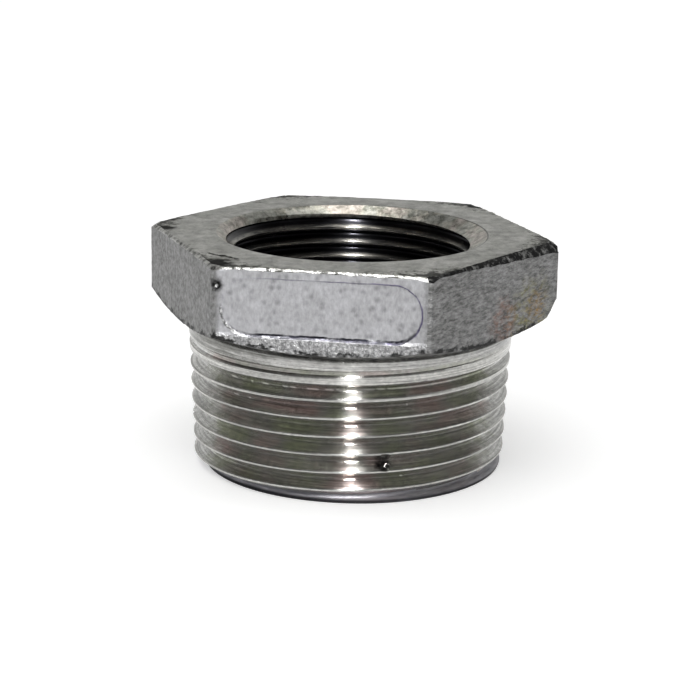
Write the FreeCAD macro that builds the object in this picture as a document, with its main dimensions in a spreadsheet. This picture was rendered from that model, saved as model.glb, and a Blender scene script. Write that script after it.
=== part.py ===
import FreeCAD, Part
import Sketcher
import math
import os

# Hexagon bushing that reduces an R 1 1/4 pipe thread to an Rp 1 pipe thread, cast in one piece.
# The hexagon head is up and the thread end is down. The origin is the centre of the thread end's face.
# All lengths are millimetres and all angles are degrees.

SIZES = (
    ("across_flats", 46.0, "hexagon across its flats, a wrench size"),
    ("head_height", 10.0, "hexagon head from its underside to its top face"),
    ("top_chamfer", 0.45, "edge break along the six top edges"),
    ("top_corner_cut", 0.96, "how far the top face's corners are turned back"),
    ("under_corner_cut", 2.46, "how far the underside's corners are turned back"),
    ("corner_angle", 30.0, "slope of the turned corners from the level, where they leave the faces"),
    ("shank_length", 20.0, "thread end to the head's underside"),
    ("thread_major", 41.91, "major diameter of the outside thread at its gauge plane"),
    ("gauge_length", 12.7, "thread end to the gauge plane"),
    ("taper_ratio", 16.0, "length over which the outside thread's diameter grows by one"),
    ("thread_pitch", 2.309, "eleven threads to the inch"),
    ("flank_angle", 55.0, "angle between the two flanks of a thread groove"),
    ("crest_flat", 0.385, "width left on each crest"),
    ("root_flat", 0.385, "width at the bottom of the groove"),
    ("groove_overcut", 0.4, "how far the groove's outline stands out past the crests"),
    ("thread_lead_in", 1.5, "least depth below the thread end at which the groove sets off"),
    ("runout_turns", 1.55, "turns over which the groove rises out of the metal"),
    ("runout_lift", 2.0, "how far the groove rises along its runout"),
    ("runout_gap", 3.05, "head's underside to the middle of the groove where its runout ends"),
    ("neck_length", 1.8, "plain neck under the head"),
    ("end_chamfer", 1.2, "height of the chamfer at the thread end"),
    ("end_chamfer_width", 1.6, "how far that chamfer reaches in from the crests, past the thread's roots"),
    ("thread_bore", 30.291, "bore at the crests of the inside thread"),
    ("bore_depth", 20.0, "top face to the foot of the threaded bore"),
    ("countersink_width", 2.25, "how far the countersink reaches out from the threaded bore"),
    ("countersink_angle", 30.0, "slope of the countersink from the level"),
    ("passage_bore", 27.0, "plain bore below the threaded one"),
    ("shoulder_angle", 31.0, "slope of the shoulder between the bores, as a drill's point leaves it"),
    ("passage_chamfer", 0.6, "edge break where the plain bore comes out"),
    ("panel_side_rim", 1.08, "corner of the front flat to the end of its recessed panel"),
    ("panel_top_rim", 1.2, "top face to the panel"),
    ("panel_under_rim", 1.5, "panel to the head's underside"),
    ("panel_depth", 0.35, "how far the panel lies below the flat"),
    ("panel_draft", 30.0, "slope of the panel's walls"),
    ("tool_clearance", 1.0, "how far the turning cuts reach past the metal"),
)

# Lengths that several outlines share, each written from the sizes.
HEAD_TOP = "(sizes.shank_length + sizes.head_height)"
CORNER_RADIUS = "(sizes.across_flats / sqrt(3))"
CUT_RADIUS = f"({CORNER_RADIUS} + sizes.tool_clearance)"
GROOVE_DEPTH = (
    "((sizes.thread_pitch - sizes.crest_flat - sizes.root_flat)"
    " / (2 * tan(sizes.flank_angle / 2)))"
)
GROOVE_HEIGHT = f"({GROOVE_DEPTH} + sizes.groove_overcut)"
GROOVE_MOUTH = f"(sizes.root_flat / 2 + {GROOVE_HEIGHT} * tan(sizes.flank_angle / 2))"
TAPER_SLOPE = "(1 / (2 * sizes.taper_ratio))"
THREAD_HEAD = "(sizes.shank_length - sizes.runout_gap - sizes.runout_turns * sizes.thread_pitch)"
FULL_TURNS = f"ceil(({THREAD_HEAD} + sizes.thread_lead_in) / sizes.thread_pitch)"
THREAD_FOOT = f"({THREAD_HEAD} - {FULL_TURNS} * sizes.thread_pitch)"
NECK_FOOT = "(sizes.shank_length - sizes.neck_length)"
PANEL_LENGTH = f"({CORNER_RADIUS} - 2 * sizes.panel_side_rim)"
PANEL_HEIGHT = "(sizes.head_height - sizes.panel_top_rim - sizes.panel_under_rim)"


def crest_radius(height):
    """The outside thread's crest radius at a height above the thread end."""
    return f"(sizes.thread_major / 2 + ({height} - sizes.gauge_length) * {TAPER_SLOPE})"


def fill_sheet(doc):
    sheet = doc.addObject("Spreadsheet::Sheet", "sizes")
    for row, (name, value, meaning) in enumerate(SIZES, start=1):
        sheet.set(f"A{row}", name)
        sheet.set(f"B{row}", str(value))
        sheet.setAlias(f"B{row}", name)
        sheet.set(f"C{row}", meaning)
    doc.recompute()


def origin_part(body, role):
    """The plane or axis of the body's own origin that has this role."""
    return next(part for part in body.Origin.OriginFeatures if part.Role == role)


def new_sketch(body, name, role, offset="0"):
    """An empty sketch on an origin plane, moved along the plane's normal by the offset."""
    sketch = body.newObject("Sketcher::SketchObject", name)
    sketch.AttachmentSupport = [(origin_part(body, role), "")]
    sketch.MapMode = "FlatFace"
    sketch.setExpression("AttachmentOffset.Base.z", offset)
    return sketch


def bind(sketch, constraint, name, length):
    """Adds a named constraint and ties its value to the sheet."""
    sketch.renameConstraint(sketch.addConstraint(constraint), name)
    sketch.setExpression(f"Constraints.{name}", length)


def outline(body, name, role, corners, offset="0"):
    """A sketch of straight lines through the corners, each placed by its two distances from the origin."""
    sketch = new_sketch(body, name, role, offset)
    count = len(corners)
    rough = [FreeCAD.Vector(index, index * index, 0) for index in range(count)]
    for index in range(count):
        sketch.addGeometry(Part.LineSegment(rough[index], rough[(index + 1) % count]))
    for index in range(count):
        sketch.addConstraint(Sketcher.Constraint("Coincident", index, 2, (index + 1) % count, 1))
    for index, (across, up) in enumerate(corners):
        start = rough[index]
        bind(sketch, Sketcher.Constraint("DistanceX", index, 1, start.x), f"across_{index}", across)
        bind(sketch, Sketcher.Constraint("DistanceY", index, 1, start.y), f"up_{index}", up)
    return sketch


def turned(body, kind, name, corners):
    """A full turn of an outline about the axis, which adds metal or cuts it."""
    feature = body.newObject(kind, name)
    feature.Profile = outline(body, f"{name}_outline", "XZ_Plane", corners)
    feature.ReferenceAxis = (origin_part(body, "Z_Axis"), [""])
    return feature


def groove_outline(body, name, height):
    """A thread groove's section, wide at the outside and centred at the height."""
    root = f"({crest_radius(height)} - {GROOVE_DEPTH})"
    mouth = f"({root} + {GROOVE_HEIGHT})"
    corners = (
        (root, f"{height} - sizes.root_flat / 2"),
        (mouth, f"{height} - {GROOVE_MOUTH}"),
        (mouth, f"{height} + {GROOVE_MOUTH}"),
        (root, f"{height} + sizes.root_flat / 2"),
    )
    return outline(body, name, "YZ_Plane", corners)


def helical_cut(body, name, height, turns, slope):
    """Cuts the groove along a right-hand helix whose radius grows with this slope."""
    cut = body.newObject("PartDesign::SubtractiveHelix", name)
    cut.Profile = groove_outline(body, f"{name}_outline", height)
    cut.ReferenceAxis = (origin_part(body, "Z_Axis"), [""])
    cut.Mode = "pitch-turns-angle"
    cut.setExpression("Pitch", "sizes.thread_pitch")
    cut.setExpression("Turns", turns)
    cut.setExpression("Angle", f"atan({slope})")
    return cut


def add_shank(body):
    """The turned blank of the outside thread, with its end chamfer and the plain neck."""
    first_crest = crest_radius("sizes.end_chamfer")
    corners = (
        ("0", "0"),
        (f"{first_crest} - sizes.end_chamfer_width", "0"),
        (first_crest, "sizes.end_chamfer"),
        (crest_radius(NECK_FOOT), NECK_FOOT),
        (crest_radius(NECK_FOOT), "sizes.shank_length"),
        ("0", "sizes.shank_length"),
    )
    turned(body, "PartDesign::Revolution", "shank", corners)


def add_head(body):
    """The hexagon, with two of its corners on the X axis and a flat towards -Y."""
    far, near = CORNER_RADIUS, f"({CORNER_RADIUS} / 2)"
    flat = "sizes.across_flats / 2"
    corners = (
        (far, "0"),
        (near, flat),
        (f"-{near}", flat),
        (f"-{far}", "0"),
        (f"-{near}", f"-{flat}"),
        (near, f"-{flat}"),
    )
    head = body.newObject("PartDesign::Pad", "head")
    head.Profile = outline(body, "hexagon", "XY_Plane", corners, "sizes.shank_length")
    head.setExpression("Length", "sizes.head_height")
    return head


def break_top_edges(body, head):
    """A small chamfer along the six edges of the top face."""
    body.Document.recompute()
    top = head.Shape.BoundBox.ZMax
    edges = [
        f"Edge{number}"
        for number, edge in enumerate(head.Shape.Edges, start=1)
        if all(abs(vertex.Z - top) < edge.Tolerance for vertex in edge.Vertexes)
    ]
    chamfer = body.newObject("PartDesign::Chamfer", "top_edges")
    chamfer.Base = (head, edges)
    chamfer.setExpression("Size", "sizes.top_chamfer")


def corner_outline(body, name, face, cut, side):
    """The space between a face of the head and a ball about the axis, from the cut out past the corners."""
    sketch = new_sketch(body, name, "XZ_Plane")
    sizes = body.Document.sizes
    slope = math.radians(sizes.corner_angle)
    corner = sizes.across_flats / math.sqrt(3)
    inner, outer = corner - getattr(sizes, cut), corner + sizes.tool_clearance
    level = sizes.shank_length + (sizes.head_height if side > 0 else 0)
    radius = inner / math.sin(slope)
    centre = FreeCAD.Vector(0, level - side * inner / math.tan(slope), 0)
    turns = sorted((side * (math.pi / 2 - slope), side * math.acos(outer / radius)))
    sketch.addGeometry(Part.ArcOfCircle(Part.Circle(centre, FreeCAD.Vector(0, 0, 1), radius), *turns))
    at_face, past_corners = (2, 1) if side > 0 else (1, 2)
    ball_edge = sketch.getPoint(0, past_corners)
    rim = FreeCAD.Vector(outer, level, 0)
    sketch.addGeometry(Part.LineSegment(ball_edge, rim))
    sketch.addGeometry(Part.LineSegment(rim, sketch.getPoint(0, at_face)))
    sketch.addConstraint(Sketcher.Constraint("Coincident", 0, past_corners, 1, 1))
    sketch.addConstraint(Sketcher.Constraint("Coincident", 1, 2, 2, 1))
    sketch.addConstraint(Sketcher.Constraint("Coincident", 2, 2, 0, at_face))
    sketch.addConstraint(Sketcher.Constraint("Vertical", 1))
    sketch.addConstraint(Sketcher.Constraint("Horizontal", 2))
    start = f"({CORNER_RADIUS} - sizes.{cut})"
    ball_height = f"{face} - ({side}) * {start} / tan(sizes.corner_angle)"
    bind(sketch, Sketcher.Constraint("DistanceX", 0, 3, centre.x), "axis", "0")
    bind(sketch, Sketcher.Constraint("DistanceY", 0, 3, centre.y), "ball_height", ball_height)
    bind(sketch, Sketcher.Constraint("DistanceX", 0, at_face, inner), "start", start)
    bind(sketch, Sketcher.Constraint("DistanceY", 0, at_face, level), "face", face)
    bind(sketch, Sketcher.Constraint("DistanceX", 0, past_corners, outer), "reach", CUT_RADIUS)
    return sketch


def turn_corners(body):
    """The head's corners turned off above and below, which leaves arched edges on the flats."""
    faces = (
        ("corners_above", HEAD_TOP, "top_corner_cut", 1),
        ("corners_below", "sizes.shank_length", "under_corner_cut", -1),
    )
    for name, face, cut, side in faces:
        groove = body.newObject("PartDesign::Groove", name)
        groove.Profile = corner_outline(body, f"{name}_outline", face, cut, side)
        groove.ReferenceAxis = (origin_part(body, "Z_Axis"), [""])


def bore_through(body):
    """The countersunk bore for the inside thread, its shoulder and the plain bore below."""
    thread, passage = "sizes.thread_bore / 2", "sizes.passage_bore / 2"
    foot = f"({HEAD_TOP} - sizes.bore_depth)"
    corners = (
        ("0", "0"),
        (f"{passage} + sizes.passage_chamfer", "0"),
        (passage, "sizes.passage_chamfer"),
        (passage, f"{foot} - ({thread} - {passage}) * tan(sizes.shoulder_angle)"),
        (thread, foot),
        (thread, f"{HEAD_TOP} - sizes.countersink_width * tan(sizes.countersink_angle)"),
        (f"{thread} + sizes.countersink_width", HEAD_TOP),
        ("0", HEAD_TOP),
    )
    turned(body, "PartDesign::Groove", "bores", corners)


def round_ended_outline(body, name, offset):
    """The panel's outline, two straight edges between two half circles."""
    sketch = new_sketch(body, name, "XZ_Plane", offset)
    sizes = body.Document.sizes
    radius = (sizes.head_height - sizes.panel_top_rim - sizes.panel_under_rim) / 2
    reach = sizes.across_flats / math.sqrt(3) / 2 - sizes.panel_side_rim - radius
    height = sizes.shank_length + sizes.panel_under_rim + radius
    left, right = FreeCAD.Vector(-reach, height, 0), FreeCAD.Vector(reach, height, 0)
    rise, quarter = FreeCAD.Vector(0, radius, 0), math.pi / 2
    axis = FreeCAD.Vector(0, 0, 1)
    sketch.addGeometry(Part.ArcOfCircle(Part.Circle(left, axis, radius), quarter, 3 * quarter))
    sketch.addGeometry(Part.LineSegment(left - rise, right - rise))
    sketch.addGeometry(Part.ArcOfCircle(Part.Circle(right, axis, radius), -quarter, quarter))
    sketch.addGeometry(Part.LineSegment(right + rise, left + rise))
    for index in range(4):
        sketch.addConstraint(Sketcher.Constraint("Tangent", index, 2, (index + 1) % 4, 1))
    sketch.addConstraint(Sketcher.Constraint("Equal", 0, 2))
    bind(sketch, Sketcher.Constraint("Radius", 0, radius), "end_radius", f"{PANEL_HEIGHT} / 2")
    middle = f"sizes.shank_length + sizes.panel_under_rim + {PANEL_HEIGHT} / 2"
    span = f"({PANEL_LENGTH} - {PANEL_HEIGHT}) / 2"
    for arc, side, across in ((0, "left", f"-{span}"), (2, "right", span)):
        centre = sketch.getPoint(arc, 3)
        bind(sketch, Sketcher.Constraint("DistanceX", arc, 3, centre.x), f"{side}_across", across)
        bind(sketch, Sketcher.Constraint("DistanceY", arc, 3, centre.y), f"{side}_up", middle)
    return sketch


def recess_panel(body):
    """The shallow round-ended panel on the front flat, bare inside, with sloping walls."""
    panel = body.newObject("PartDesign::Pocket", "panel")
    panel.Profile = round_ended_outline(body, "panel_outline", "sizes.across_flats / 2")
    panel.setExpression("Length", "sizes.panel_depth")
    panel.setExpression("TaperAngle", "-sizes.panel_draft")


def cut_thread(body):
    """The outside thread at its full depth, in whole turns, so that its runout into the neck joins it."""
    helical_cut(body, "thread", THREAD_FOOT, FULL_TURNS, TAPER_SLOPE)
    rising = f"{TAPER_SLOPE} + sizes.runout_lift / (sizes.runout_turns * sizes.thread_pitch)"
    helical_cut(body, "runout", THREAD_HEAD, "sizes.runout_turns", rising)


def build_bushing(doc):
    body = doc.addObject("PartDesign::Body", "bushing")
    body.Label = "hex_bushing"
    body.Placement = FreeCAD.Placement()
    add_shank(body)
    head = add_head(body)
    break_top_edges(body, head)
    turn_corners(body)
    bore_through(body)
    recess_panel(body)
    cut_thread(body)
    doc.recompute()
    return body


def check(doc, body):
    """Stops at a failed object, at a cut that removed nothing, or at a shape that isn't one sound solid."""
    for item in doc.Objects:
        if {"Invalid", "Error"} & set(item.State):
            raise RuntimeError(f"{item.Name} failed: {item.State}")
    cuts = ("PartDesign::Groove", "PartDesign::Pocket", "PartDesign::SubtractiveHelix", "PartDesign::Chamfer")
    for feature in body.Group:
        if feature.TypeId in cuts and feature.Shape.Volume >= feature.BaseFeature.Shape.Volume:
            raise RuntimeError(f"{feature.Name} removed nothing")
    shape = body.Shape
    if shape.isNull() or not shape.isValid() or len(shape.Solids) != 1:
        raise RuntimeError(f"{body.Label} is not one valid solid")


def main():
    doc = FreeCAD.newDocument("hex_bushing")
    fill_sheet(doc)
    body = build_bushing(doc)
    check(doc, body)
    os.makedirs("parts", exist_ok=True)
    body.Shape.exportStep(f"parts/{body.Label}.step")


main()
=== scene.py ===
import math

import bmesh
import bpy
import numpy as np
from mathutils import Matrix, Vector, noise


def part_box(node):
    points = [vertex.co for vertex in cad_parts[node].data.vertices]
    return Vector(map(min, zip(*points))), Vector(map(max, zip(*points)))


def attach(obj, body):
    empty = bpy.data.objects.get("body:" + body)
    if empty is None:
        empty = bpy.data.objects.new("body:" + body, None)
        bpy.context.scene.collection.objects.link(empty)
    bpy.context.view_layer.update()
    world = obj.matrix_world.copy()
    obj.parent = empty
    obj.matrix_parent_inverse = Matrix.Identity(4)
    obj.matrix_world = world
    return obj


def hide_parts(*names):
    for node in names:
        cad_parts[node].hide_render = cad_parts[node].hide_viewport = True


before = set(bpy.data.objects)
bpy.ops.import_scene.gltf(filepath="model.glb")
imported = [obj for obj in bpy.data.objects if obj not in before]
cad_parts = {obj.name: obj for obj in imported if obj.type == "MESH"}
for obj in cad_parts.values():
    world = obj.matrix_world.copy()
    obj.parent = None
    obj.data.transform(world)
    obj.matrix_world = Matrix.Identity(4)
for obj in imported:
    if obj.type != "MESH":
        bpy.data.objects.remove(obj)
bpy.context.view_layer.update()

# The bushing is measured in millimetres, in the solid's frame: its thread end on the floor, its axis on Z, a
# corner of the head on +X. Azimuths are in degrees.
MM = 0.001
low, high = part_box("hex_bushing")
HEIGHT = high.z / MM
FLATS = (high.y - low.y) / MM
APOTHEM = FLATS / 2
CORNER = APOTHEM / math.cos(math.radians(30))

# The head. Its front flat lies round azimuth 270, and its right corner at 0.
CORNER_ROUND = 0.35
WORN_ROUND = 0.9
WORN_CORNERS = (180, 240)
WORN_SPREAD = 12
TOP_CHAMFER = 0.45
CHAMFER_RANGE = (0.25, 1.3)
RIGHT_CHAMFER = 0.75
TOP_CORNER_CUT = 0.96
TOP_REACH = CORNER - TOP_CORNER_CUT
BALL_RADIUS = TOP_REACH / math.sin(math.radians(30))
BALL_CENTRE = HEIGHT - TOP_REACH / math.tan(math.radians(30))
BACK_CORNERS = (60, 120)
BACK_SPREAD = 15
BACK_LIFT = 0.35
BACK_REACH = 0.6
FALL_START = 23.7
CORNER_FALL = 0.12
FRONT_INSET = 0.06
UNDERSIDE = 19.45
UNDER_SLOPE = 0.37
UNDER_TILT = 0.4
TILT_AZIMUTH = 315.0
RIGHT_CUT = 1.8
RIGHT_CUT_SPREAD = 2.7
FRONT_HALF = APOTHEM * math.tan(math.radians(29))
FRONT_FROM, FRONT_TO = 240.7, 299.1
STREAKED_FROM = 298.6
DARK_EDGE_FROM = 298.5

# The panel on the front flat.
PANEL_HALF = CORNER / 2 - 1.08
PANEL_LOW = 21.5
PANEL_HIGH = HEIGHT - 1.2
PANEL_RADIUS = (PANEL_HIGH - PANEL_LOW) / 2
PANEL_MIDDLE = (PANEL_HIGH + PANEL_LOW) / 2
PANEL_DEPTH = 0.35
PANEL_WALL = 0.2

# The outside thread, the neck above it and the chamfer below it. A groove's middle is at a known height at a
# known azimuth, and the runout starts a share of a turn above that.
PITCH = 2.309
HALF_ANGLE = math.radians(27.5)
THREAD_DEPTH = 1.479
CREST_HALF = 0.115
ROOT_HALF = 0.27
CREST_BLEND = 0.06
ROOT_BLEND = 0.34
GROOVE_HEIGHT = 13.371
GROOVE_AZIMUTH = 90.0
RUNOUT_START = 0.15
RUNOUT_LIFT = 0.9
CREST_RADIUS = 20.15
TAPER = 1 / 23
NECK_FOOT = 18.2
NECK_RADIUS = 20.95
CREVICE = 0.2
END_RADIUS = 19.75
END_CHAMFER = 0.9

# The inside thread, the countersink above it and the plain bore below it. Its pitch and depth are a share of
# the outside thread's.
BORE_RADIUS = 15.1455
BORE_FOOT = 10.0
BORE_GROOVE_HEIGHT = 28.2
BORE_SCALE = 0.836
BORE_RUNOUT = 2.5
SINK_RADIUS = BORE_RADIUS + 2.25
SINK_SLOPE = math.tan(math.radians(60))
PASSAGE_RADIUS = 13.5
PASSAGE_CHAMFER = 0.6
SHOULDER_FOOT = BORE_FOOT - (BORE_RADIUS - PASSAGE_RADIUS) * math.tan(math.radians(31))

# The camera, fitted to the photograph: where it stands, the height on the axis it looks at, its roll in
# radians and its lens.
VIEW_AZIMUTH = -81.245
VIEW_REACH = 276.75
VIEW_HEIGHT = 89.10
VIEW_TARGET = 14.30
VIEW_ROLL = 0.0183
LENS = 113.34

# Damage: the pore by the front flat's left corner, and the dents in the thread with their radii.
PORE = np.array([-12.85, -23.1, 27.66])
PORE_RADIUS = 0.55
PORE_INWARD = np.array([0.35, 1.0, 0.0])
PORE_FROM, PORE_TO = 236, 246
PIT = np.array([7.3, -18.4, 5.35])
DENTS = (
    (PIT + [0, 0, 0.45], 0.75),
    (PIT + [0.1, 0, -0.45], 0.6),
    (np.array([-19.92, -4.58, 5.9]), 0.5),
    (np.array([-19.8, -4.7, 4.9]), 0.4),
    (np.array([-8.0, -19.2, 10.95]), 0.3),
    (np.array([15.1, -12.35, 3.2]), 0.35),
)

# Columns of the mesh in each sixth of a turn, with the degrees from a corner of those beside it, the rows of
# each stretch, how close points are to be joined and the edge below which a face is a sliver.
FLAT_COLUMNS = 38
FRONT_COLUMNS = 60
FRONT_SIXTH = 4
NEAR_CORNER = [0, 0.22, 0.44, 0.66, 1.0]
EXTRA_COLUMN = 0.82
TOP_ROWS = 12
CHAMFER_ROWS = 5
FLAT_ROWS = 34
UNDER_ROWS = 6
NECK_ROWS = 7
END_ROWS = 5
PASSAGE_ROWS = 6
JOIN_WITHIN = 0.0003
SLIVER = 0.0002

# The finishes, numbered as the bushing's materials.
TOP, CAST, EDGE, THREAD, END, BORE, SINK, FRONT, STREAKED, CREVICE_SHADE, DARK_EDGE = range(11)


def columns():
    """Azimuths of the mesh's columns, closer together at the head's corners and across its front flat."""
    out = []
    for sixth in range(6):
        start = NEAR_CORNER[:-1]
        middle = np.linspace(1.0, 59.0, FLAT_COLUMNS)
        if sixth == FRONT_SIXTH:
            start = start + [EXTRA_COLUMN]
            across = np.linspace(-FRONT_HALF, FRONT_HALF, FRONT_COLUMNS)
            middle = 30 + np.degrees(np.arctan(across / APOTHEM))
        end = [60 - v for v in reversed(NEAR_CORNER[1:-1])]
        out.extend(60 * sixth + np.concatenate([start, middle, end]))
    return np.array(out)


PHI = columns()
COUNT = len(PHI)
COS, SIN = np.cos(np.radians(PHI)), np.sin(np.radians(PHI))
TO_CORNER = (PHI + 30) % 60 - 30
TO_RIGHT = (PHI + 180) % 360 - 180
ON_FRONT = (PHI > FRONT_FROM) & (PHI < FRONT_TO)


def bell(distance, width):
    """One at no distance, and near zero past twice the width."""
    return np.exp(-((distance / width) ** 2))


def smooth_step(t):
    """Zero to one, level at both ends."""
    t = np.clip(t, 0, 1)
    return t * t * (3 - 2 * t)


def least(a, b, k=0.05):
    """Smaller of two radii, with a small round between them."""
    return (a + b - np.sqrt((a - b) ** 2 + k ** 2)) / 2


def wave(points, scale, seed=0.0, octaves=3):
    """Smooth noise of about one unit at each point, its features a given number of millimetres apart."""
    out = np.empty(len(points))
    for i, p in enumerate(points):
        v = Vector((p[0] / scale + seed, p[1] / scale - seed, p[2] / scale + 2 * seed))
        out[i] = noise.fractal(v, 0.8, 2.0, octaves)
    return out


def carve(points, centre, radius, inward):
    """Pushes what lies within a ball onward to the ball's far side, so that a pore is left."""
    inward = np.array(inward) / np.linalg.norm(inward)
    offset = points - np.array(centre)
    along = offset @ inward
    beside = np.linalg.norm(offset - along[..., None] * inward, axis=-1)
    bottom = np.sqrt(np.clip(radius ** 2 - beside ** 2, 0, None))
    push = np.where((beside < radius) & (along < bottom), bottom - along, 0)
    return points + push[..., None] * inward


def ring(radius, z):
    """One row of points round the axis."""
    return np.stack([radius * COS, radius * SIN, z + 0 * PHI], axis=1)


def rows_between(first, last, steps):
    """Rows from one row to another, without the first."""
    return [first + (last - first) * (i + 1) / steps for i in range(steps)]


def hexagon(apothem):
    """Radius of a hexagon with rounded corners at each column."""
    worn = sum(bell(PHI - azimuth, WORN_SPREAD) for azimuth in WORN_CORNERS)
    rounding = CORNER_ROUND + (WORN_ROUND - CORNER_ROUND) * worn
    off = np.radians(TO_CORNER)
    flat = apothem / np.cos(math.radians(30) - np.abs(off))
    centre = (apothem - rounding) / math.cos(math.radians(30))
    reach = np.arctan2(rounding / 2, centre + rounding * math.cos(math.radians(30)))
    inside = np.clip(rounding ** 2 - (centre * np.sin(off)) ** 2, 0, None)
    arc = centre * np.cos(off) + np.sqrt(inside)
    return np.where(np.abs(off) < reach, arc, flat)


HEX = hexagon(APOTHEM)
HEX_RING = ring(HEX, 0.0)


def groove(offset, lift):
    """Depth of the thread below its crests at a height above a groove's middle."""
    past = (np.abs(offset) - ROOT_HALF) / math.tan(HALF_ANGLE)
    blend = ROOT_BLEND * np.clip(1.1 - lift / THREAD_DEPTH, 0.15, 1)
    climb = (past + np.sqrt(past ** 2 + blend ** 2)) / 2
    depth = THREAD_DEPTH - climb - lift
    return (depth + np.sqrt(depth ** 2 + CREST_BLEND ** 2)) / 2


def outside_radius(phi, z):
    """Radius of the outside thread."""
    rise = GROOVE_HEIGHT + PITCH * (phi - GROOVE_AZIMUTH) / 360
    turn = np.round((z - rise) / PITCH)
    middle = rise + turn * PITCH
    turns = (middle - GROOVE_HEIGHT) / PITCH
    lift = RUNOUT_LIFT * np.clip(turns - RUNOUT_START, 0, None)
    thread = CREST_RADIUS + TAPER * z - groove(z - middle, lift)
    chamfer = END_RADIUS + z * (CREST_RADIUS - END_RADIUS) / END_CHAMFER
    return least(thread, chamfer)


def inside_radius(phi, z):
    """Radius of the threaded bore or the countersink, and whether it is the countersink's."""
    pitch = BORE_SCALE * PITCH
    rise = BORE_GROOVE_HEIGHT + pitch * (phi - GROOVE_AZIMUTH) / 360
    turn = np.round((z - rise) / pitch)
    lift = np.clip(BORE_FOOT + BORE_RUNOUT - z, 0, None)
    thread = BORE_RADIUS + BORE_SCALE * groove((z - rise - turn * pitch) / BORE_SCALE, lift)
    sink = SINK_RADIUS - (HEIGHT - z) * SINK_SLOPE
    return -least(-thread, -sink), sink > thread


def profile_steps(flank_steps):
    """Heights of the rows within one pitch, closer together at the edges of crest and root."""
    root = [-ROOT_HALF - 0.07, -ROOT_HALF + 0.05, 0.0, ROOT_HALF - 0.05]
    crest_edge = PITCH / 2 - CREST_HALF
    flank = np.linspace(ROOT_HALF + 0.07, crest_edge - 0.05, flank_steps + 1)
    crest = PITCH / 2 + np.array([-CREST_HALF, -CREST_HALF + 0.04, 0.0, CREST_HALF - 0.04, CREST_HALF])
    back = np.linspace(PITCH - crest_edge + 0.05, PITCH - ROOT_HALF - 0.07, flank_steps + 1)[:-1]
    return np.concatenate([root, flank, crest, back])


def helix_rows(middle, bottom, top, steps, scale=1.0):
    """Heights of rows that follow a right-hand helix between two level ends, and how many make a turn."""
    pitch = PITCH * scale
    rise = middle + pitch * (PHI - GROOVE_AZIMUTH) / 360
    first = math.floor((bottom - rise.max()) / pitch) - 1
    last = math.ceil((top - rise.min()) / pitch) + 1
    heights = np.concatenate([steps * scale + turn * pitch for turn in range(first, last + 1)])
    return np.clip(rise[None, :] + heights[:, None], bottom, top), len(steps)


class Skin:
    """The bushing's surface, gathered as bands of quads between rows of points."""

    def __init__(self):
        self.points = []
        self.faces = []
        self.finishes = []
        self.count = 0

    def band(self, rows, finish, shift=0):
        """Quads between the rows. At the seam each row meets the one a shift further along the list."""
        rows = np.array(rows)
        last = len(rows) - 1
        i = np.arange(last)[:, None]
        j = np.arange(COUNT)[None, :]
        beside = (j + 1) % COUNT
        over = np.where(j + 1 == COUNT, shift, 0)
        corners = (
            i * COUNT + j,
            np.clip(i + over, 0, last) * COUNT + beside,
            np.clip(i + 1 + over, 0, last) * COUNT + beside,
            (i + 1) * COUNT + j,
        )
        self.faces.append(self.count + np.stack(corners, axis=-1).reshape(-1, 4))
        self.finishes.append(np.broadcast_to(finish, (last, COUNT)).reshape(-1))
        self.points.append(rows.reshape(-1, 3))
        self.count += rows.shape[0] * COUNT

    def mesh(self, name):
        """One closed mesh, its shared points joined, with sharp edges where it turns by over 35 degrees."""
        made = bpy.data.meshes.new(name)
        points = np.concatenate(self.points) * MM
        made.from_pydata(points.tolist(), [], np.concatenate(self.faces).tolist())
        made.polygons.foreach_set("material_index", np.concatenate(self.finishes).astype(np.int32))
        work = bmesh.new()
        work.from_mesh(made)
        bmesh.ops.remove_doubles(work, verts=work.verts, dist=JOIN_WITHIN * MM)
        bmesh.ops.dissolve_degenerate(work, edges=work.edges, dist=SLIVER * MM)
        bmesh.ops.recalc_face_normals(work, faces=work.faces)
        work.to_mesh(made)
        work.free()
        made.shade_smooth()
        made.set_sharp_from_angle(angle=math.radians(35))
        return made


def top_edge():
    """Height where the rough top chamfer meets the flats at each column, and the top face's reach."""
    rough = wave(HEX_RING, 1.6, 3.1) + 0.6 * wave(HEX_RING, 0.45, 7.7)
    along_right = smooth_step((np.where(PHI < 1, PHI + 360, PHI) - 300) / 60)
    growth = np.where((PHI > 300) | (PHI < 1), RIGHT_CHAMFER * along_right, 0)
    thin = np.where(PHI > 180, 0.8, 1.0)
    chamfer = TOP_CHAMFER * thin * (1 + 0.35 * rough) + growth + 0.25 * bell(TO_CORNER, 2.5)
    chamfer = np.clip(chamfer, *CHAMFER_RANGE)
    back = sum(bell(PHI - azimuth, BACK_SPREAD) for azimuth in BACK_CORNERS)
    ball = BALL_CENTRE + np.sqrt(BALL_RADIUS ** 2 - HEX ** 2)
    height = np.minimum(HEIGHT - chamfer, ball + BACK_LIFT * back - 0.3 * chamfer)
    reach = np.minimum(hexagon(APOTHEM - TOP_CHAMFER), TOP_REACH + BACK_REACH * back)
    return height, reach - 0.8 * (chamfer - TOP_CHAMFER)


def add_top_face(skin, reach):
    """The top face, which falls off a little and is pitted towards the corners."""
    sink_row = ring(SINK_RADIUS, HEIGHT)
    rows = [sink_row] + rows_between(sink_row, ring(reach, HEIGHT), TOP_ROWS)
    for row in rows[1:]:
        out = np.hypot(row[:, 0], row[:, 1])
        fall = CORNER_FALL * smooth_step((out - FALL_START) / 2.2)
        dip = np.clip(wave(row, 1.3, 21.0), 0, None) * smooth_step((out - FALL_START + 1) / 1.5)
        row[:, 2] -= fall + 0.12 * dip
    skin.band(rows, TOP)
    return rows[-1]


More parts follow.
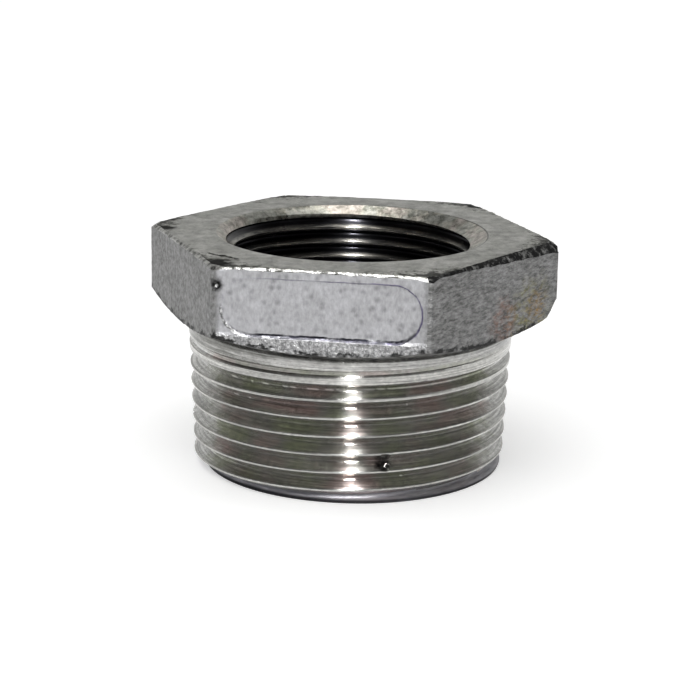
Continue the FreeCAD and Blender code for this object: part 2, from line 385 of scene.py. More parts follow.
def add_top_chamfer(skin, inner, outer):
    """The lumpy chamfer from the top face's edge to the flats."""
    rows = [inner]
    for step in range(1, CHAMFER_ROWS):
        t = step / CHAMFER_ROWS
        row = inner + (outer - inner) * t
        lump = 0.05 * (wave(row, 0.5, 1.3) + wave(row, 0.25, 5.0, 2))
        swell = 0.08 * math.sin(math.pi * t) + lump * np.where(np.abs(TO_CORNER) < 3, 0.3, 1)
        row = row + swell[:, None] * np.stack([COS * 0.7, SIN * 0.7, 0.7 + 0 * COS], axis=1)
        row[:, 2] = np.minimum(row[:, 2], HEIGHT)
        rows.append(row)
    skin.band(rows + [outer], np.where((PHI > DARK_EDGE_FROM) | (PHI < 1), DARK_EDGE, EDGE))


def panel_distance(x, z):
    """Distance from the panel's outline, positive outside it, and its direction."""
    dx = x - np.clip(x, PANEL_RADIUS - PANEL_HALF, PANEL_HALF - PANEL_RADIUS)
    dz = z - PANEL_MIDDLE
    r = np.hypot(dx, dz) + 1e-9
    return r - PANEL_RADIUS, dx / r, dz / r


def gather_to_panel(x, z, inner):
    """Draws the front flat's points towards the panel's outline, so that its wall is sharp."""
    away, nx, nz = panel_distance(x, z)
    t = np.clip(np.abs(away) / np.where(away > 0, 0.68, 1.6), 0, 1)
    shift = (away * np.where(t < 1, 0.25 + 0.75 * t, 1) - away) * inner
    return x + nx * shift, z + nz * shift


def front_relief(x, z):
    """How far the front flat lies back: panel, cast waves, the rough band below it and its beaded lip."""
    away = panel_distance(x, z)[0]
    wall = smooth_step(0.5 - (away + PANEL_WALL / 2) / PANEL_WALL)
    sunk = PANEL_DEPTH * wall * (0.2 + 0.8 * smooth_step((x + 12) / 12))
    place = np.stack([x.ravel(), 0 * x.ravel(), z.ravel()], axis=1)
    cast = wave(place, 2.6, 2.0).reshape(x.shape)
    fine = wave(place, 0.7, 9.0).reshape(x.shape)
    lumps = wave(place, 0.45, 13.0).reshape(x.shape)
    low_band = smooth_step((21.9 - z) / 0.5) * smooth_step(away / 0.2)
    left_end = 0.7 * smooth_step((-x - 8.5) / 2) * smooth_step((26 - z) / 2)
    lip = np.maximum(smooth_step((22.6 - z) / 1.2), left_end)
    lip = 0.09 * bell(away - 0.16, 0.1) * lip * np.clip(0.5 + 1.4 * lumps, 0, 1.6)
    relief = sunk + 0.03 * cast + 0.012 * fine + low_band * (0.06 * lumps + 0.03 * fine) - lip
    return np.maximum(relief, -FRONT_INSET)


def add_pore(stack):
    """Gathers the rows inside the flats round the pore and sinks it."""
    near = (PHI > PORE_FROM) & (PHI < PORE_TO)
    lift = stack[1:-1, near, 2] - PORE[2]
    side = np.hypot(stack[1:-1, near, 0] - PORE[0], stack[1:-1, near, 1] - PORE[1])
    gather = np.clip(np.hypot(lift, side) / 2.0, 0, 1)
    stack[1:-1, near, 2] = PORE[2] + lift * np.where(gather < 1, 0.35 + 0.65 * gather, 1)
    stack[1:-1] = carve(stack[1:-1], PORE, PORE_RADIUS, PORE_INWARD)


def add_flats(skin, upper, lower, fade):
    """The six flats: the front one with its panel, the others cast and slightly wavy."""
    stack = np.array([upper] + rows_between(upper, lower, FLAT_ROWS))
    inner = np.ones((FLAT_ROWS + 1, np.count_nonzero(ON_FRONT)))
    inner[[0, -1]] = 0
    x, z = gather_to_panel(stack[:, ON_FRONT, 0], stack[:, ON_FRONT, 2], inner)
    stack[:, ON_FRONT, 0] = x
    stack[:, ON_FRONT, 2] = z
    stack[:, ON_FRONT, 1] += front_relief(x, z) * inner * fade[ON_FRONT]
    others = ~ON_FRONT
    points = stack[1:-1][:, others].reshape(-1, 3)
    bumps = 0.035 * wave(points, 3.0, 4.0) + 0.012 * wave(points, 0.8, 6.0)
    bumps = np.abs(bumps).reshape(FLAT_ROWS - 1, -1)
    stack[1:-1, others, 0] -= bumps * COS[others]
    stack[1:-1, others, 1] -= bumps * SIN[others]
    add_pore(stack)
    finish = np.where(ON_FRONT, FRONT, CAST)
    skin.band(stack, np.where(PHI > STREAKED_FROM, STREAKED, finish))


def add_head(skin):
    """The head from its top face down to its underside, and the row where the neck starts."""
    edge_high, reach = top_edge()
    corner_cut = RIGHT_CUT * bell(TO_RIGHT, RIGHT_CUT_SPREAD)
    under = UNDERSIDE + UNDER_TILT * (1 - np.cos(np.radians(PHI - TILT_AZIMUTH)))
    ragged = 0.1 * wave(HEX_RING, 0.8, 17.0) * (PHI > 180)
    edge_low = under + UNDER_SLOPE * (HEX - APOTHEM) + corner_cut + ragged
    fade = smooth_step((FRONT_HALF - np.abs(HEX * COS)) / 1.2 + 0.1) * ON_FRONT
    set_back = np.stack([0 * PHI, FRONT_INSET * fade, 0 * PHI], axis=1)
    upper = ring(HEX, edge_high) + set_back
    lower = ring(HEX, edge_low) + set_back
    add_top_chamfer(skin, add_top_face(skin, reach), upper)
    add_flats(skin, upper, lower, fade)
    rows = [lower]
    for step in range(1, UNDER_ROWS + 1):
        t = step / UNDER_ROWS
        r = HEX + (NECK_RADIUS - CREVICE - HEX) * t
        rows.append(ring(r, under + UNDER_SLOPE * (r - APOTHEM) + corner_cut * (1 - t)))
    # The inner half of the underside is painted dark, as painted shade under the head.
    finish = np.where(np.arange(UNDER_ROWS) < UNDER_ROWS / 2, CAST, CREVICE_SHADE)
    skin.band(rows, finish[:, None])
    return rows[-1]


def add_neck(skin, top):
    """The plain neck, with a crevice where it meets the head and painted shade in it."""
    rows = [top]
    for step in range(1, NECK_ROWS):
        z = top[:, 2] + (NECK_FOOT - top[:, 2]) * step / NECK_ROWS
        rows.append(ring(NECK_RADIUS - CREVICE * bell(z - top[:, 2], 0.22), z))
    rows.append(ring(outside_radius(PHI, NECK_FOOT + 0 * PHI), NECK_FOOT))
    # The neck's top row is painted dark, as painted shade in the crevice.
    finish = np.where(np.arange(NECK_ROWS) < 1, CREVICE_SHADE, THREAD)
    skin.band(rows, finish[:, None])


def add_outside_thread(skin):
    """The outside thread from the neck down to the end face, slightly torn and with its dents."""
    heights, per_turn = helix_rows(GROOVE_HEIGHT, 0.0, NECK_FOOT, profile_steps(3))
    heights = heights[::-1]
    radius = outside_radius(PHI[None, :], heights)
    shape = np.stack([radius * COS, radius * SIN, heights], axis=-1)
    tear = 0.018 * wave(shape.reshape(-1, 3) * [1, 1, 3], 1.6, 11.0)
    inward = np.where((heights > 0) & (heights < NECK_FOOT), np.abs(tear).reshape(heights.shape), 0)
    shape[..., 0] -= inward * COS
    shape[..., 1] -= inward * SIN
    for centre, size in DENTS:
        outward = centre * [1, 1, 0]
        near_side = (shape @ outward > 0)[..., None]
        shape = np.where(near_side, carve(shape, centre, size, -outward), shape)
    skin.band(shape, np.where(heights[1:] < END_CHAMFER, END, THREAD), shift=-per_turn)


def add_passage(skin):
    """The end face, the plain bore and the shoulder below the inside thread."""
    outer = ring(outside_radius(PHI, 0 * PHI), 0.0)
    inner = ring(PASSAGE_RADIUS + PASSAGE_CHAMFER, 0.0)
    foot = ring(PASSAGE_RADIUS, PASSAGE_CHAMFER)
    head = ring(PASSAGE_RADIUS, SHOULDER_FOOT)
    shoulder = ring(inside_radius(PHI, BORE_FOOT + 0 * PHI)[0], BORE_FOOT)
    skin.band([outer] + rows_between(outer, inner, END_ROWS), END)
    skin.band([inner, foot], END)
    skin.band([foot] + rows_between(foot, head, PASSAGE_ROWS), BORE)
    skin.band([head, shoulder], BORE)


def add_inside_thread(skin):
    """The inside thread and the countersink."""
    heights, per_turn = helix_rows(BORE_GROOVE_HEIGHT, BORE_FOOT, HEIGHT, profile_steps(1), BORE_SCALE)
    radius, sunk = inside_radius(PHI[None, :], heights)
    radius = np.where(heights >= HEIGHT, SINK_RADIUS, radius)
    shape = np.stack([radius * COS, radius * SIN, heights], axis=-1)
    skin.band(shape, np.where(sunk[1:], SINK, BORE), shift=per_turn)


def bushing_mesh():
    """The whole bushing, from the top face outward and down, and back up through the bore."""
    skin = Skin()
    add_neck(skin, add_head(skin))
    add_outside_thread(skin)
    add_passage(skin)
    add_inside_thread(skin)
    return skin.mesh("bushing")


bushing = bpy.data.objects.new("bushing_visual", bushing_mesh())
bpy.context.scene.collection.objects.link(bushing)
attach(bushing, "root")
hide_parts("hex_bushing")


def shade(tone):
    """A colour as it is, or a grey from a plain number."""
    return (tone, tone, tone) if isinstance(tone, (int, float)) else tone


class Nodes:
    """A node tree being put together from sockets and constants."""

    def __init__(self, owner):
        owner.use_nodes = True
        self.tree = owner.node_tree
        self.tree.nodes.clear()

    def node(self, kind, **values):
        made = self.tree.nodes.new(kind)
        for key, value in values.items():
            setattr(made, key, value)
        return made

    def feed(self, socket, value):
        """Links a socket, or gives it a number, a vector or a colour."""
        if isinstance(value, bpy.types.NodeSocket):
            self.tree.links.new(value, socket)
        elif socket.type == "RGBA":
            socket.default_value = (*shade(value), 1)
        else:
            socket.default_value = value

    def math(self, kind, *values):
        made = self.node("ShaderNodeMath", operation=kind)
        for socket, value in zip(made.inputs, values):
            self.feed(socket, value)
        return made.outputs[0]

    def vector(self, kind, *values):
        made = self.node("ShaderNodeVectorMath", operation=kind)
        for socket, value in zip(made.inputs, values):
            self.feed(socket, value)
        return made.outputs["Value" if kind in ("DOT_PRODUCT", "LENGTH", "DISTANCE") else "Vector"]

    def toward(self, place, azimuth):
        """How far a place lies in the direction of an azimuth."""
        angle = math.radians(azimuth)
        return self.vector("DOT_PRODUCT", place, (math.cos(angle), math.sin(angle), 0))

    def axis(self, place, name):
        """One coordinate of a place."""
        split = self.node("ShaderNodeSeparateXYZ")
        self.feed(split.inputs[0], place)
        return split.outputs[name]

    def ramp(self, factor, *stops):
        """A tone that follows a factor. Each stop is a place and a tone."""
        made = self.node("ShaderNodeValToRGB")
        elements = made.color_ramp.elements
        while len(elements) < len(stops):
            elements.new(0.5)
        for element, (at, tone) in zip(elements, stops):
            element.position = at
            element.color = (*shade(tone), 1)
        self.feed(made.inputs["Fac"], factor)
        return made.outputs["Color"]

    def span(self, factor, start, end, low=0.0, high=1.0):
        """Low up to the start, high past the end, and straight in between."""
        made = self.node("ShaderNodeMapRange")
        for socket, value in zip(made.inputs, (factor, start, end, low, high)):
            self.feed(socket, value)
        return made.outputs["Result"]

    def mix(self, factor, a, b, mode="MIX"):
        made = self.node("ShaderNodeMix", data_type="RGBA", blend_type=mode)
        for index, value in ((0, factor), (6, a), (7, b)):
            self.feed(made.inputs[index], value)
        return made.outputs[2]

    def times(self, colour, *tones):
        """A colour multiplied by each tone."""
        for tone in tones:
            colour = self.mix(1.0, colour, tone, "MULTIPLY")
        return colour

    def overlap(self, mask, *others):
        """Where all the masks are."""
        for other in others:
            mask = self.math("MULTIPLY", mask, other)
        return mask


class Paint(Nodes):
    """A material whose masks and noises are measured in millimetres on the part."""

    def __init__(self, name):
        self.material = bpy.data.materials.new(name)
        super().__init__(self.material)
        self.output = self.node("ShaderNodeOutputMaterial")
        metres = self.node("ShaderNodeTexCoord").outputs["Object"]
        self.place = self.vector("MULTIPLY", metres, (1 / MM, 1 / MM, 1 / MM))
        self.height = self.axis(self.place, "Z")
        self.from_axis = self.vector("LENGTH", self.vector("MULTIPLY", self.place, (1, 1, 0)))

    def noise(self, per_mm, detail=4, rough=0.6, stretch=(1, 1, 1)):
        """Noise round one half, its scale given per millimetre."""
        made = self.node("ShaderNodeTexNoise")
        self.feed(made.inputs["Scale"], per_mm)
        self.feed(made.inputs["Detail"], detail)
        self.feed(made.inputs["Roughness"], rough)
        self.feed(made.inputs["Vector"], self.vector("MULTIPLY", self.place, stretch))
        return made.outputs["Fac"]

    def ragged(self, value, amount, *noise):
        """A value with noise added that goes half of an amount either way."""
        return self.math("ADD", value, self.math("MULTIPLY_ADD", self.noise(*noise), amount, -amount / 2))

    def stroke(self, start, end, width, per_mm):
        """One along a ragged straight scratch between two points, and zero away from it."""
        run = Vector(end) - Vector(start)
        offset = self.vector("SUBTRACT", self.place, start)
        along = self.vector("DOT_PRODUCT", offset, run / run.length_squared)
        held = self.math("MINIMUM", self.math("MAXIMUM", along, 0.0), 1.0)
        gap = self.vector("DISTANCE", offset, self.vector("MULTIPLY", run, held))
        return self.span(self.ragged(gap, 3 * width, per_mm, 4), width / 2, width, 1, 0)

    def spot(self, centre, size, per_mm, uneven=1.4):
        """One within a ragged patch round a point, and zero outside it."""
        gap = self.vector("DISTANCE", self.place, tuple(centre))
        return self.span(self.ragged(gap, size * uneven, per_mm, 4), size / 2, size, 1, 0)

    def pore(self, colour):
        """The pore's dark ring, painted shade, and the bright spot in it, a painted highlight."""
        colour = self.mix(self.spot(PORE, 1.05, 1.5, 0.8), colour, 0.02)
        return self.mix(self.spot(PORE + [0.05, 0.3, -0.1], 0.30, 1.5, 0.3), colour, 0.95)

    def painted_rim_shade(self, colour):
        """Broken painted shade along the head's lower rim."""
        facing = self.math("DIVIDE", self.toward(self.place, TILT_AZIMUTH), self.from_axis)
        tilt = self.math("MULTIPLY_ADD", facing, -UNDER_TILT, UNDERSIDE + UNDER_TILT)
        slope = self.math("MULTIPLY_ADD", self.from_axis, UNDER_SLOPE, -UNDER_SLOPE * APOTHEM)
        above = self.math("SUBTRACT", self.height, self.math("ADD", tilt, slope))
        dark = self.span(self.ragged(above, 2.2, 1.1, 4, 0.75), 0.35, 0.5, 1, 0)
        some = self.span(self.noise(0.42, 3), 0.44, 0.54, 0, 0.95)
        return self.mix(self.overlap(dark, some), colour, 0.02)

    def rim_line(self, colour):
        """The dark line along the right part of the countersink's outer edge."""
        off = self.math("ABSOLUTE", self.math("SUBTRACT", self.from_axis, SINK_RADIUS))
        line = self.span(off, 0.04, 0.13, 1, 0)
        right = self.span(self.axis(self.place, "X"), 10, 13, 0, 0.85)
        return self.mix(self.overlap(line, right), colour, 0.03)

    def uneven(self, per_mm, low, high, *noise):
        """A roughness that wanders between two values."""
        return self.span(self.noise(per_mm, 3, *noise), 0.3, 0.7, low, high)

    def bump(self, height, depth, strength=1.0, after=None):
        """A normal from a height map that is a number of millimetres deep."""
        made = self.node("ShaderNodeBump")
        self.feed(made.inputs["Distance"], depth * MM)
        self.feed(made.inputs["Strength"], strength)
        self.feed(made.inputs["Height"], height)
        if after is not None:
            self.feed(made.inputs["Normal"], after)
        return made.outputs["Normal"]

    def steel(self, colour, roughness, normal, anisotropy=0.0):
        """The finished metal. Anisotropy stretches its highlights as lathe marks round the axis do."""
        shader = self.node("ShaderNodeBsdfPrincipled")
        values = {"Metallic": 1.0, "Base Color": colour, "Roughness": roughness, "Normal": normal}
        if anisotropy:
            tangent = self.node("ShaderNodeTangent", direction_type="RADIAL", axis="Z")
            values["Anisotropic"] = anisotropy
            values["Anisotropic Rotation"] = 0.25
            values["Tangent"] = tangent.outputs["Tangent"]
        for name, value in values.items():
            self.feed(shader.inputs[name], value)
        self.feed(self.output.inputs["Surface"], shader.outputs["BSDF"])
        return self.material


# Marks on the head: scratches and dirty spots on the top face, and stains on the right flat, each with its
# size, the noise that frays it and its tint.
SCRATCHES = (
    ((-15.2, -16.4, HEIGHT), (-13.1, -17.8, HEIGHT)),
    ((-13.4, -17.2, HEIGHT), (-11.1, -18.8, HEIGHT)),
)
DIRTY_SPOTS = (
    ((-13.3, -21.4, HEIGHT), 3.2),
    ((25.2, -4.0, HEIGHT), 2.8),
    ((-23.8, -3.0, HEIGHT), 2.0),
    ((13.8, 20.8, HEIGHT), 2.4),
)
OLIVE = (0.95, 0.92, 0.52)
RUST = (1.05, 0.72, 0.62)
STAINS = (
    ((23.2, -5.2, 21.6), 5.2, 0.42, OLIVE),
    ((20.8, -10.0, 21.8), 3.4, 0.7, RUST),
    ((24.2, -4.1, 22.6), 2.6, 0.7, RUST),
)


def top_finish():
    """The machined top face, with dark as-cast spots left towards the corners."""
    p = Paint("machined_top")
    tones = (0.38, (0.19, 0.195, 0.17)), (0.5, (0.31, 0.31, 0.29)), (0.62, (0.47, 0.465, 0.45))
    tone = p.ramp(p.noise(0.23, 6, 0.75), *tones)
    patch = p.ramp(p.noise(0.75, 5, 0.85), (0.4, (0.06, 0.06, 0.055)), (0.6, (0.65, 0.65, 0.62)))
    dirt = p.span(p.ragged(p.from_axis, 10, 0.6, 5, 0.75), 22.83, 24.5, 0, 0.9)
    for start, end in SCRATCHES:
        dirt = p.math("MAXIMUM", dirt, p.stroke(start, end, 0.38, 1.5))
    for centre, size in DIRTY_SPOTS:
        dirt = p.math("MAXIMUM", dirt, p.spot(centre, size, 0.7))
    colour = p.rim_line(p.mix(dirt, p.mix(0.45, tone, patch), (0.015, 0.015, 0.014)))
    roughness = p.mix(dirt, p.uneven(1.5, 0.28, 0.42), 0.9)
    return p.steel(colour, roughness, p.bump(p.noise(1.6, 5, 0.75), 0.08))


def cast_finish():
    """The flats beside and behind the front one: grey and grainy."""
    p = Paint("cast_flats")
    tone = p.ramp(p.noise(0.14, 5), (0.3, (0.165, 0.165, 0.16)), (0.7, 0.245))
    grain = p.ramp(p.noise(1.5, 4, 0.8), (0.38, 0.03), (0.62, 0.40))
    colour = p.painted_rim_shade(p.pore(p.mix(0.45, tone, grain)))
    return p.steel(colour, p.uneven(1.4, 0.45, 0.60), p.bump(p.noise(1.9, 5, 0.7), 0.07))


def streaked_finish():
    """The right flat: level streaks, and a stain of olive and rust low down."""
    p = Paint("cast_streaked")
    tone = p.ramp(p.noise(0.22, 5, 0.6, (1, 1, 2)), (0.3, (0.12, 0.12, 0.115)), (0.7, 0.24))
    grain = p.ramp(p.noise(0.85, 5, 0.8, (1, 1, 3.2)), (0.38, 0.02), (0.62, 0.42))
    colour = p.mix(0.5, tone, grain)
    blotches = p.span(p.noise(0.9, 5, 0.75, (1, 1, 2)), 0.42, 0.6)
    for centre, size, per_mm, tint in STAINS:
        stain = p.overlap(p.spot(centre, size, per_mm), blotches)
        colour = p.mix(stain, colour, tint, "MULTIPLY")
    normal = p.bump(p.noise(1.1, 5, 0.75, (1, 1, 2.6)), 0.1)
    return p.steel(p.painted_rim_shade(colour), p.uneven(1.4, 0.45, 0.60), normal)


def front_tone(p, side):
    """The pale tone of the front flat with its small dark specks."""
    tone = p.ramp(p.noise(0.24, 4), (0.3, (0.40, 0.40, 0.412)), (0.7, (0.485, 0.485, 0.505)))
    level = p.node("ShaderNodeCombineXYZ")
    p.feed(level.inputs[0], side)
    p.feed(level.inputs[1], p.height)
    cells = p.node("ShaderNodeTexVoronoi", voronoi_dimensions="2D")
    p.feed(cells.inputs["Scale"], 0.68)
    p.feed(cells.inputs["Vector"], level.outputs[0])
    specks = p.span(cells.outputs["Distance"], 0.06, 0.32, 0.63, 1.0)
    some = p.span(p.noise(0.33, 2), 0.38, 0.55, 0.35, 0.95)
    grain = p.span(p.noise(1.5, 4, 0.7, (1.6, 1, 0.8)), 0.3, 0.7, 0.76, 1.12)
    return p.times(p.mix(some, tone, p.times(tone, specks)), grain)


def outside_panel(p, side):
    """Distance from the panel's outline, negative inside it."""
    straight = PANEL_HALF - PANEL_RADIUS
    across = p.math("MAXIMUM", p.math("SUBTRACT", p.math("ABSOLUTE", side), straight), 0.0)
    up = p.math("SUBTRACT", p.height, PANEL_MIDDLE)
    squares = p.math("ADD", p.math("MULTIPLY", across, across), p.math("MULTIPLY", up, up))
    return p.math("SUBTRACT", p.math("SQRT", squares), PANEL_RADIUS)


def panel_marks(p, colour, side, away):
    """The dark violet line round the panel, partly painted shade; painted shade, broken up, along its foot
    and in the crevice inside it; and painted glints and shade on the beads at its left end.
    """

    def near(offset, solid, gone, waver=None):
        """One along a line beside the outline, up to a solid half width, and zero from a wider one on."""
        off = p.math("SUBTRACT", away, offset)
        if waver is not None:
            off = p.math("ADD", off, waver)
        return p.span(p.math("ABSOLUTE", off), solid, gone, 1, 0)

    wander = p.math("MULTIPLY_ADD", p.noise(0.5, 3), 0.5, -0.25)
    low_part = p.span(p.height, 22.1, 23.1, 1, 0)

    # A dark violet line round the outline, partly painted shade under the panel's edge; it grows towards the
    # right.
    growing = p.math("ADD", p.span(side, -8.75, 1.25, 0.1, 0.45), p.span(side, 1.25, 10, 0, 0.55))
    broken = p.span(p.noise(0.42, 3), 0.4, 0.55, 0.35, 1.0)
    line = p.overlap(near(-0.08, 0.042, 0.15, wander), growing, broken)
    colour = p.mix(line, colour, (0.12, 0.10, 0.21))

    # Painted shade along the foot of the panel's wall, broken up by noise.
    crumbs = p.span(p.noise(0.8, 4, 0.75), 0.46, 0.58, 1.0, 0.1)
    ledge = p.overlap(near(-PANEL_WALL / 2, 0.12, 0.18), low_part, crumbs)
    colour = p.mix(ledge, colour, (0.09, 0.09, 0.10))

    # Painted shade: a near-black line in the crevice inside the panel's foot, with gaps.
    gaps = p.overlap(p.span(p.noise(0.42, 3), 0.38, 0.5, 0.15, 1.0), p.span(side, -10.5, -7.5))
    crevice = p.overlap(near(-PANEL_WALL - 0.07, 0.08, 0.19, wander), low_part, gaps)
    colour = p.mix(crevice, colour, (0.015, 0.015, 0.02))

    # Painted glints and shade: bright and dark specks on the beads at the panel's left end.
    left_end = p.overlap(p.span(side, -10.4, -9.4, 0.9, 0), p.span(p.height, 24.6, 25.6, 1, 0))
    beads = p.ramp(p.noise(1.5, 4, 0.8), (0.42, 0.08), (0.5, 0.42), (0.58, 0.85))
    return p.mix(p.overlap(near(0.1, 0.125, 0.25, wander), left_end), colour, beads)


def front_finish():
    """The front flat: pale, with dark specks, a rough lower band, marks round the panel and darker ends."""
    p = Paint("cast_front")
    side = p.axis(p.place, "X")
    away = outside_panel(p, side)
    rough_low = p.overlap(p.span(p.height, 21.4, 21.9, 1, 0), p.span(away, 0, 0.12))
    speckle = p.ramp(p.noise(2.1, 4, 0.8), (0.38, 0.10), (0.52, 0.32), (0.64, 0.56))
    colour = p.mix(p.math("MULTIPLY", rough_low, 0.8), front_tone(p, side), speckle)
    colour = panel_marks(p, colour, side, away)
    ends = p.span(p.ragged(p.math("ABSOLUTE", side), 2.4, 0.7, 4, 0.75), 12.0, 12.9, 0, 0.85)
    colour = p.painted_rim_shade(p.pore(p.mix(ends, colour, 0.20)))
    normal = p.bump(p.noise(1.5, 5, 0.7), 0.06, 0.8)
    normal = p.bump(p.overlap(p.noise(1.2, 4, 0.7), rough_low), 0.3, 1.0, normal)
    return p.steel(colour, p.uneven(1.4, 0.40, 0.52), normal)


def edge_finish():
    """The rough chamfer round the top face."""
    p = Paint("rough_edge")
    colour = p.ramp(p.noise(1.1, 4, 0.7), (0.38, (0.05, 0.05, 0.045)), (0.6, (0.55, 0.55, 0.53)))
    return p.steel(colour, p.uneven(1.3, 0.26, 0.42), p.bump(p.noise(1.1, 4, 0.7), 0.14))


def dark_edge_finish():
    """The broken right edge of the top face: dark, with a few bright specks."""
    p = Paint("dark_edge")
    colour = p.ramp(p.noise(1.0, 4, 0.75), (0.5, 0.012), (0.7, (0.22, 0.22, 0.215)))
    return p.steel(colour, p.uneven(1.3, 0.6, 0.85), p.bump(p.noise(1.1, 4, 0.7), 0.14))


def thread_finish():
    """The outside thread and the neck: bright crests, grooves with a stain tint and painted shade, painted
    reflections on the left and right sides, a painted highlight on the neck and painted shade in a pit.
    """
    p = Paint("turned_thread")
    across = p.toward(p.place, VIEW_AZIMUTH + 90)
    crest = p.math("MULTIPLY_ADD", p.height, TAPER, CREST_RADIUS)
    # The grooves are painted darker than the crests: partly an olive and rust stain tint, partly painted
    # shade in the grooves.
    grooves = p.span(p.math("SUBTRACT", crest, p.from_axis), 0.05, 0.2)
    # Painted reflection: the grooves are painted pale towards the left and right sides across the view.
    painted_side_reflection = p.span(p.ragged(p.math("ABSOLUTE", across), 8, 0.42, 4, 0.7), 16, 18.5)
    tones = (0.36, (0.375, 0.39, 0.31)), (0.5, (0.39, 0.385, 0.36)), (0.64, (0.435, 0.37, 0.35))
    stain = p.ramp(p.noise(0.15, 3, 0.5, (1, 1, 2.2)), *tones)
    colour = p.mix(grooves, (0.62, 0.615, 0.59), p.mix(painted_side_reflection, stain, (0.66, 0.66, 0.645)))
    # Turned streaks on the neck and the thread's top, with a painted highlight: paler in the middle of the
    # view, darker to the left and right.
    streaks_and_painted_highlight = p.math("MULTIPLY_ADD", across, 0.012, p.noise(0.11, 4, 0.6, (1, 1, 9)))
    tones = (0.3, (0.27, 0.27, 0.255)), (0.52, (0.61, 0.605, 0.59)), (0.75, (0.37, 0.37, 0.36))
    colour = p.mix(p.span(p.height, 17, 17.5), colour, p.ramp(streaks_and_painted_highlight, *tones))
    lines = p.span(p.noise(0.5, 5, 0.75, (0.12, 0.12, 12)), 0.38, 0.62, 0.5, 1.12)
    grain = p.span(p.noise(1.5, 4, 0.75, (1, 1, 1.6)), 0.36, 0.64, 0.78, 1.16)
    # Painted shade: a near-black spot round the pit.
    pit_shade = p.math("MULTIPLY", p.spot(PIT, 1.4, 1.5, 0.9), 0.95)
    colour = p.mix(pit_shade, p.times(colour, lines, grain), 0.02)
    roughness = p.uneven(0.6, 0.20, 0.27, 0.6, (0.15, 0.15, 10))
    normal = p.bump(p.noise(0.5, 3, 0.6, (0.05, 0.05, 14)), 0.014, 0.7)
    return p.steel(colour, roughness, normal, 1.0)


def end_finish():
    """The chamfer and the face at the thread's end, with painted shade close to the floor."""
    p = Paint("turned_end")
    marks = p.noise(0.5, 4, 0.7, (0.3, 0.3, 4))
    colour = p.ramp(marks, (0.35, (0.19, 0.19, 0.208)), (0.65, (0.55, 0.54, 0.575)))
    # Painted shade: darker below 0.4 mm, close to the floor.
    colour = p.mix(p.span(p.height, 0.2, 0.4, 1, 0), colour, (0.05, 0.05, 0.055))
    return p.steel(colour, p.uneven(1.2, 0.4, 0.55), p.bump(p.noise(1.4, 4), 0.03, 0.6))


def bore_finish():
    """The inside thread: bright crests, and grooves painted nearly black as painted shade."""
    p = Paint("inside_thread")
    patches = p.noise(0.3, 3, 0.5, (1, 1, 3))
    # Painted shade: the grooves are painted nearly black.
    grooves = p.ramp(patches, (0.3, (0.012, 0.012, 0.014)), (0.7, (0.035, 0.035, 0.04)))
    marks = p.noise(0.4, 4, 0.7, (0.6, 0.6, 6))
    crests = p.ramp(marks, (0.38, 0.09), (0.66, (0.44, 0.42, 0.38)))
    depth = p.math("SUBTRACT", p.from_axis, BORE_RADIUS)
    colour = p.mix(p.span(depth, 0.25, 0.65), crests, grooves)
    roughness = p.uneven(0.5, 0.20, 0.28, 0.6, (0.2, 0.2, 8))
    normal = p.bump(p.noise(0.5, 3, 0.6, (0.1, 0.1, 20)), 0.01, 0.4)
    return p.steel(colour, roughness, normal, 0.8)


def sink_finish():
    """The countersink, with faint warm and cool patches."""
    p = Paint("countersink")
    tones = (0.38, (0.21, 0.21, 0.19)), (0.5, (0.40, 0.395, 0.37)), (0.62, (0.60, 0.585, 0.56))
    colour = p.ramp(p.noise(0.9, 5, 0.75), *tones)
    tints = (0.42, (1.0, 0.93, 0.91)), (0.5, (1.0, 0.99, 0.93)), (0.58, (0.86, 0.88, 0.86))
    colour = p.rim_line(p.times(colour, p.ramp(p.noise(0.33, 3), *tints)))
    return p.steel(colour, p.uneven(1.3, 0.26, 0.42), p.bump(p.noise(1.3, 4), 0.06, 0.7))


def crevice_shade_finish():
    """Painted shade in the crevice between the head and the neck, on the neck's top row and the inner half
    of the head's underside.
    """
    p = Paint("crevice_painted_shade")
    colour = p.ramp(p.noise(0.9, 4, 0.7), (0.4, 0.03), (0.66, (0.20, 0.20, 0.19)))
    return p.steel(colour, p.uneven(1.3, 0.5, 0.7), p.bump(p.noise(1.0, 4), 0.1, 0.9))


FINISHES = {
    TOP: top_finish,
    CAST: cast_finish,
    EDGE: edge_finish,
    THREAD: thread_finish,
    END: end_finish,
    BORE: bore_finish,
    SINK: sink_finish,
    FRONT: front_finish,
    STREAKED: streaked_finish,
    CREVICE_SHADE: crevice_shade_finish,
    DARK_EDGE: dark_edge_finish,
}
for number in sorted(FINISHES):
    bushing.data.materials.append(FINISHES[number]())

# The room is measured in metres.
FLOOR_RADIUS = 4.0
PAPER = 0.86
PAPER_LIFT = 0.44


def floor_material():
    """Pale paper. What the camera and the metal see of it is lifted to white, and the shadow stays."""
    paper = bpy.data.materials.new("paper")
    n = Nodes(paper)
    diffuse = n.node("ShaderNodeBsdfDiffuse")
    n.feed(diffuse.inputs["Color"], PAPER)
    lift = n.node("ShaderNodeEmission")
    n.feed(lift.inputs["Strength"], PAPER_LIFT)
    rays = n.node("ShaderNodeLightPath").outputs
    lifted = n.node("ShaderNodeMixShader")
    n.feed(lifted.inputs[0], n.math("MAXIMUM", rays["Is Camera Ray"], rays["Is Glossy Ray"]))
    n.feed(lifted.inputs[2], lift.outputs[0])
    both = n.node("ShaderNodeAddShader")
    n.feed(both.inputs[0], diffuse.outputs[0])
    n.feed(both.inputs[1], lifted.outputs[0])
    n.feed(n.node("ShaderNodeOutputMaterial").inputs["Surface"], both.outputs[0])
    return paper


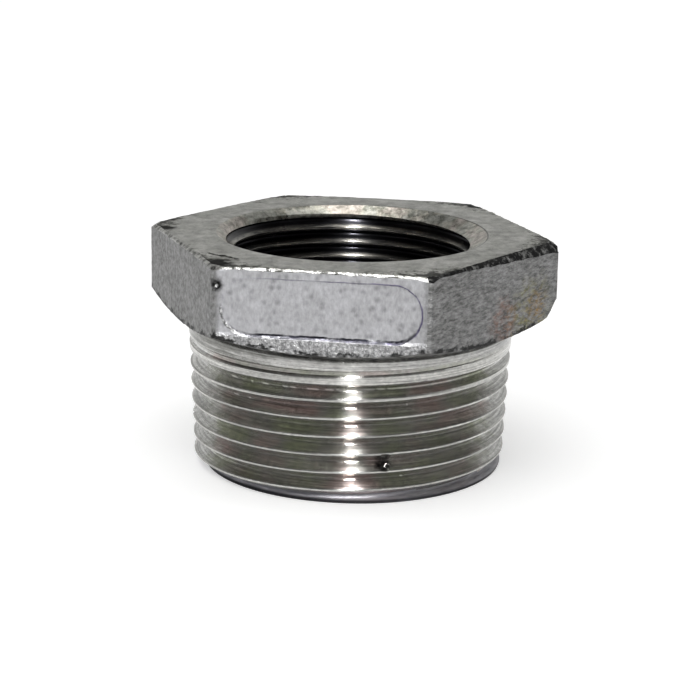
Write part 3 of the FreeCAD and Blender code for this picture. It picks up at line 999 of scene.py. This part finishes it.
def make_floor():
    mesh = bpy.data.meshes.new("floor")
    work = bmesh.new()
    bmesh.ops.create_circle(work, cap_ends=True, segments=96, radius=FLOOR_RADIUS)
    work.to_mesh(mesh)
    work.free()
    made = bpy.data.objects.new("floor", mesh)
    made.data.materials.append(floor_material())
    bpy.context.scene.collection.objects.link(made)


make_floor()


def room_tone(value):
    """A grey of the room, slightly warm."""
    return (value, value, value * 0.98)


def make_world():
    """A dim room above the table, paler low down behind the part; white where the camera sees it."""
    world = bpy.data.worlds.new("room")
    bpy.context.scene.world = world
    n = Nodes(world)
    way = n.node("ShaderNodeTexCoord").outputs["Generated"]
    up = n.axis(way, "Z")
    room = [(at, room_tone(v)) for at, v in ((0.0, 0.30), (0.4, 0.16), (0.8, 0.09), (1.0, 0.08))]
    wall = [(at, room_tone(v)) for at, v in ((0.0, 0.62), (0.5, 0.55), (0.68, 0.11), (1.0, 0.08))]
    behind = n.span(n.toward(way, VIEW_AZIMUTH + 180), 0.15, 0.45)
    dim = n.node("ShaderNodeBackground")
    n.feed(dim.inputs["Color"], n.mix(behind, n.ramp(up, *room), n.ramp(up, *wall)))
    white = n.node("ShaderNodeBackground")
    chosen = n.node("ShaderNodeMixShader")
    n.feed(chosen.inputs[0], n.node("ShaderNodeLightPath").outputs["Is Camera Ray"])
    n.feed(chosen.inputs[1], dim.outputs[0])
    n.feed(chosen.inputs[2], white.outputs[0])
    n.feed(n.node("ShaderNodeOutputWorld").inputs["Surface"], chosen.outputs[0])


make_world()


def add_aimed(made, place, target=Vector((0, 0, 0))):
    """Puts a lamp or a camera in the scene, looking at a target."""
    made.location = place
    made.rotation_euler = (target - place).to_track_quat("-Z", "Y").to_euler()
    bpy.context.scene.collection.objects.link(made)


def lamp(name, azimuth, elevation, distance, size, power,
         colour=(1, 1, 1), lights_floor=True, lights_metal=True):
    """An area lamp that looks at the part, its azimuth measured from the camera's."""
    data = bpy.data.lights.new(name, "AREA")
    data.shape = "RECTANGLE"
    data.size, data.size_y = size
    data.energy = power
    data.color = colour
    made = bpy.data.objects.new(name, data)
    made.visible_diffuse = lights_floor
    made.visible_glossy = lights_metal
    a, e = math.radians(azimuth + VIEW_AZIMUTH), math.radians(elevation)
    direction = Vector((math.cos(a) * math.cos(e), math.sin(a) * math.cos(e), math.sin(e)))
    add_aimed(made, direction * distance)


lamp("strip", 0.0, 56, 1.2, (0.04, 1.25), 34, lights_floor=False)
lamp("rear", -2.5, 112, 1.2, (0.4, 0.5), 2.1, (1, 0.985, 0.93), lights_floor=False)
lamp("overhead", -20, 75, 4.0, (4.0, 4.0), 124, lights_metal=False)


def make_camera():
    data = bpy.data.cameras.new("view")
    data.sensor_width = 36
    data.lens = LENS
    data.clip_start = 0.01
    made = bpy.data.objects.new("view", data)
    a = math.radians(VIEW_AZIMUTH)
    place = Vector((VIEW_REACH * math.cos(a), VIEW_REACH * math.sin(a), VIEW_HEIGHT)) * MM
    add_aimed(made, place, Vector((0, 0, VIEW_TARGET)) * MM)
    made.rotation_euler.rotate_axis("Z", VIEW_ROLL)
    bpy.context.scene.camera = made


make_camera()
bpy.context.scene.view_settings.view_transform = "Standard"
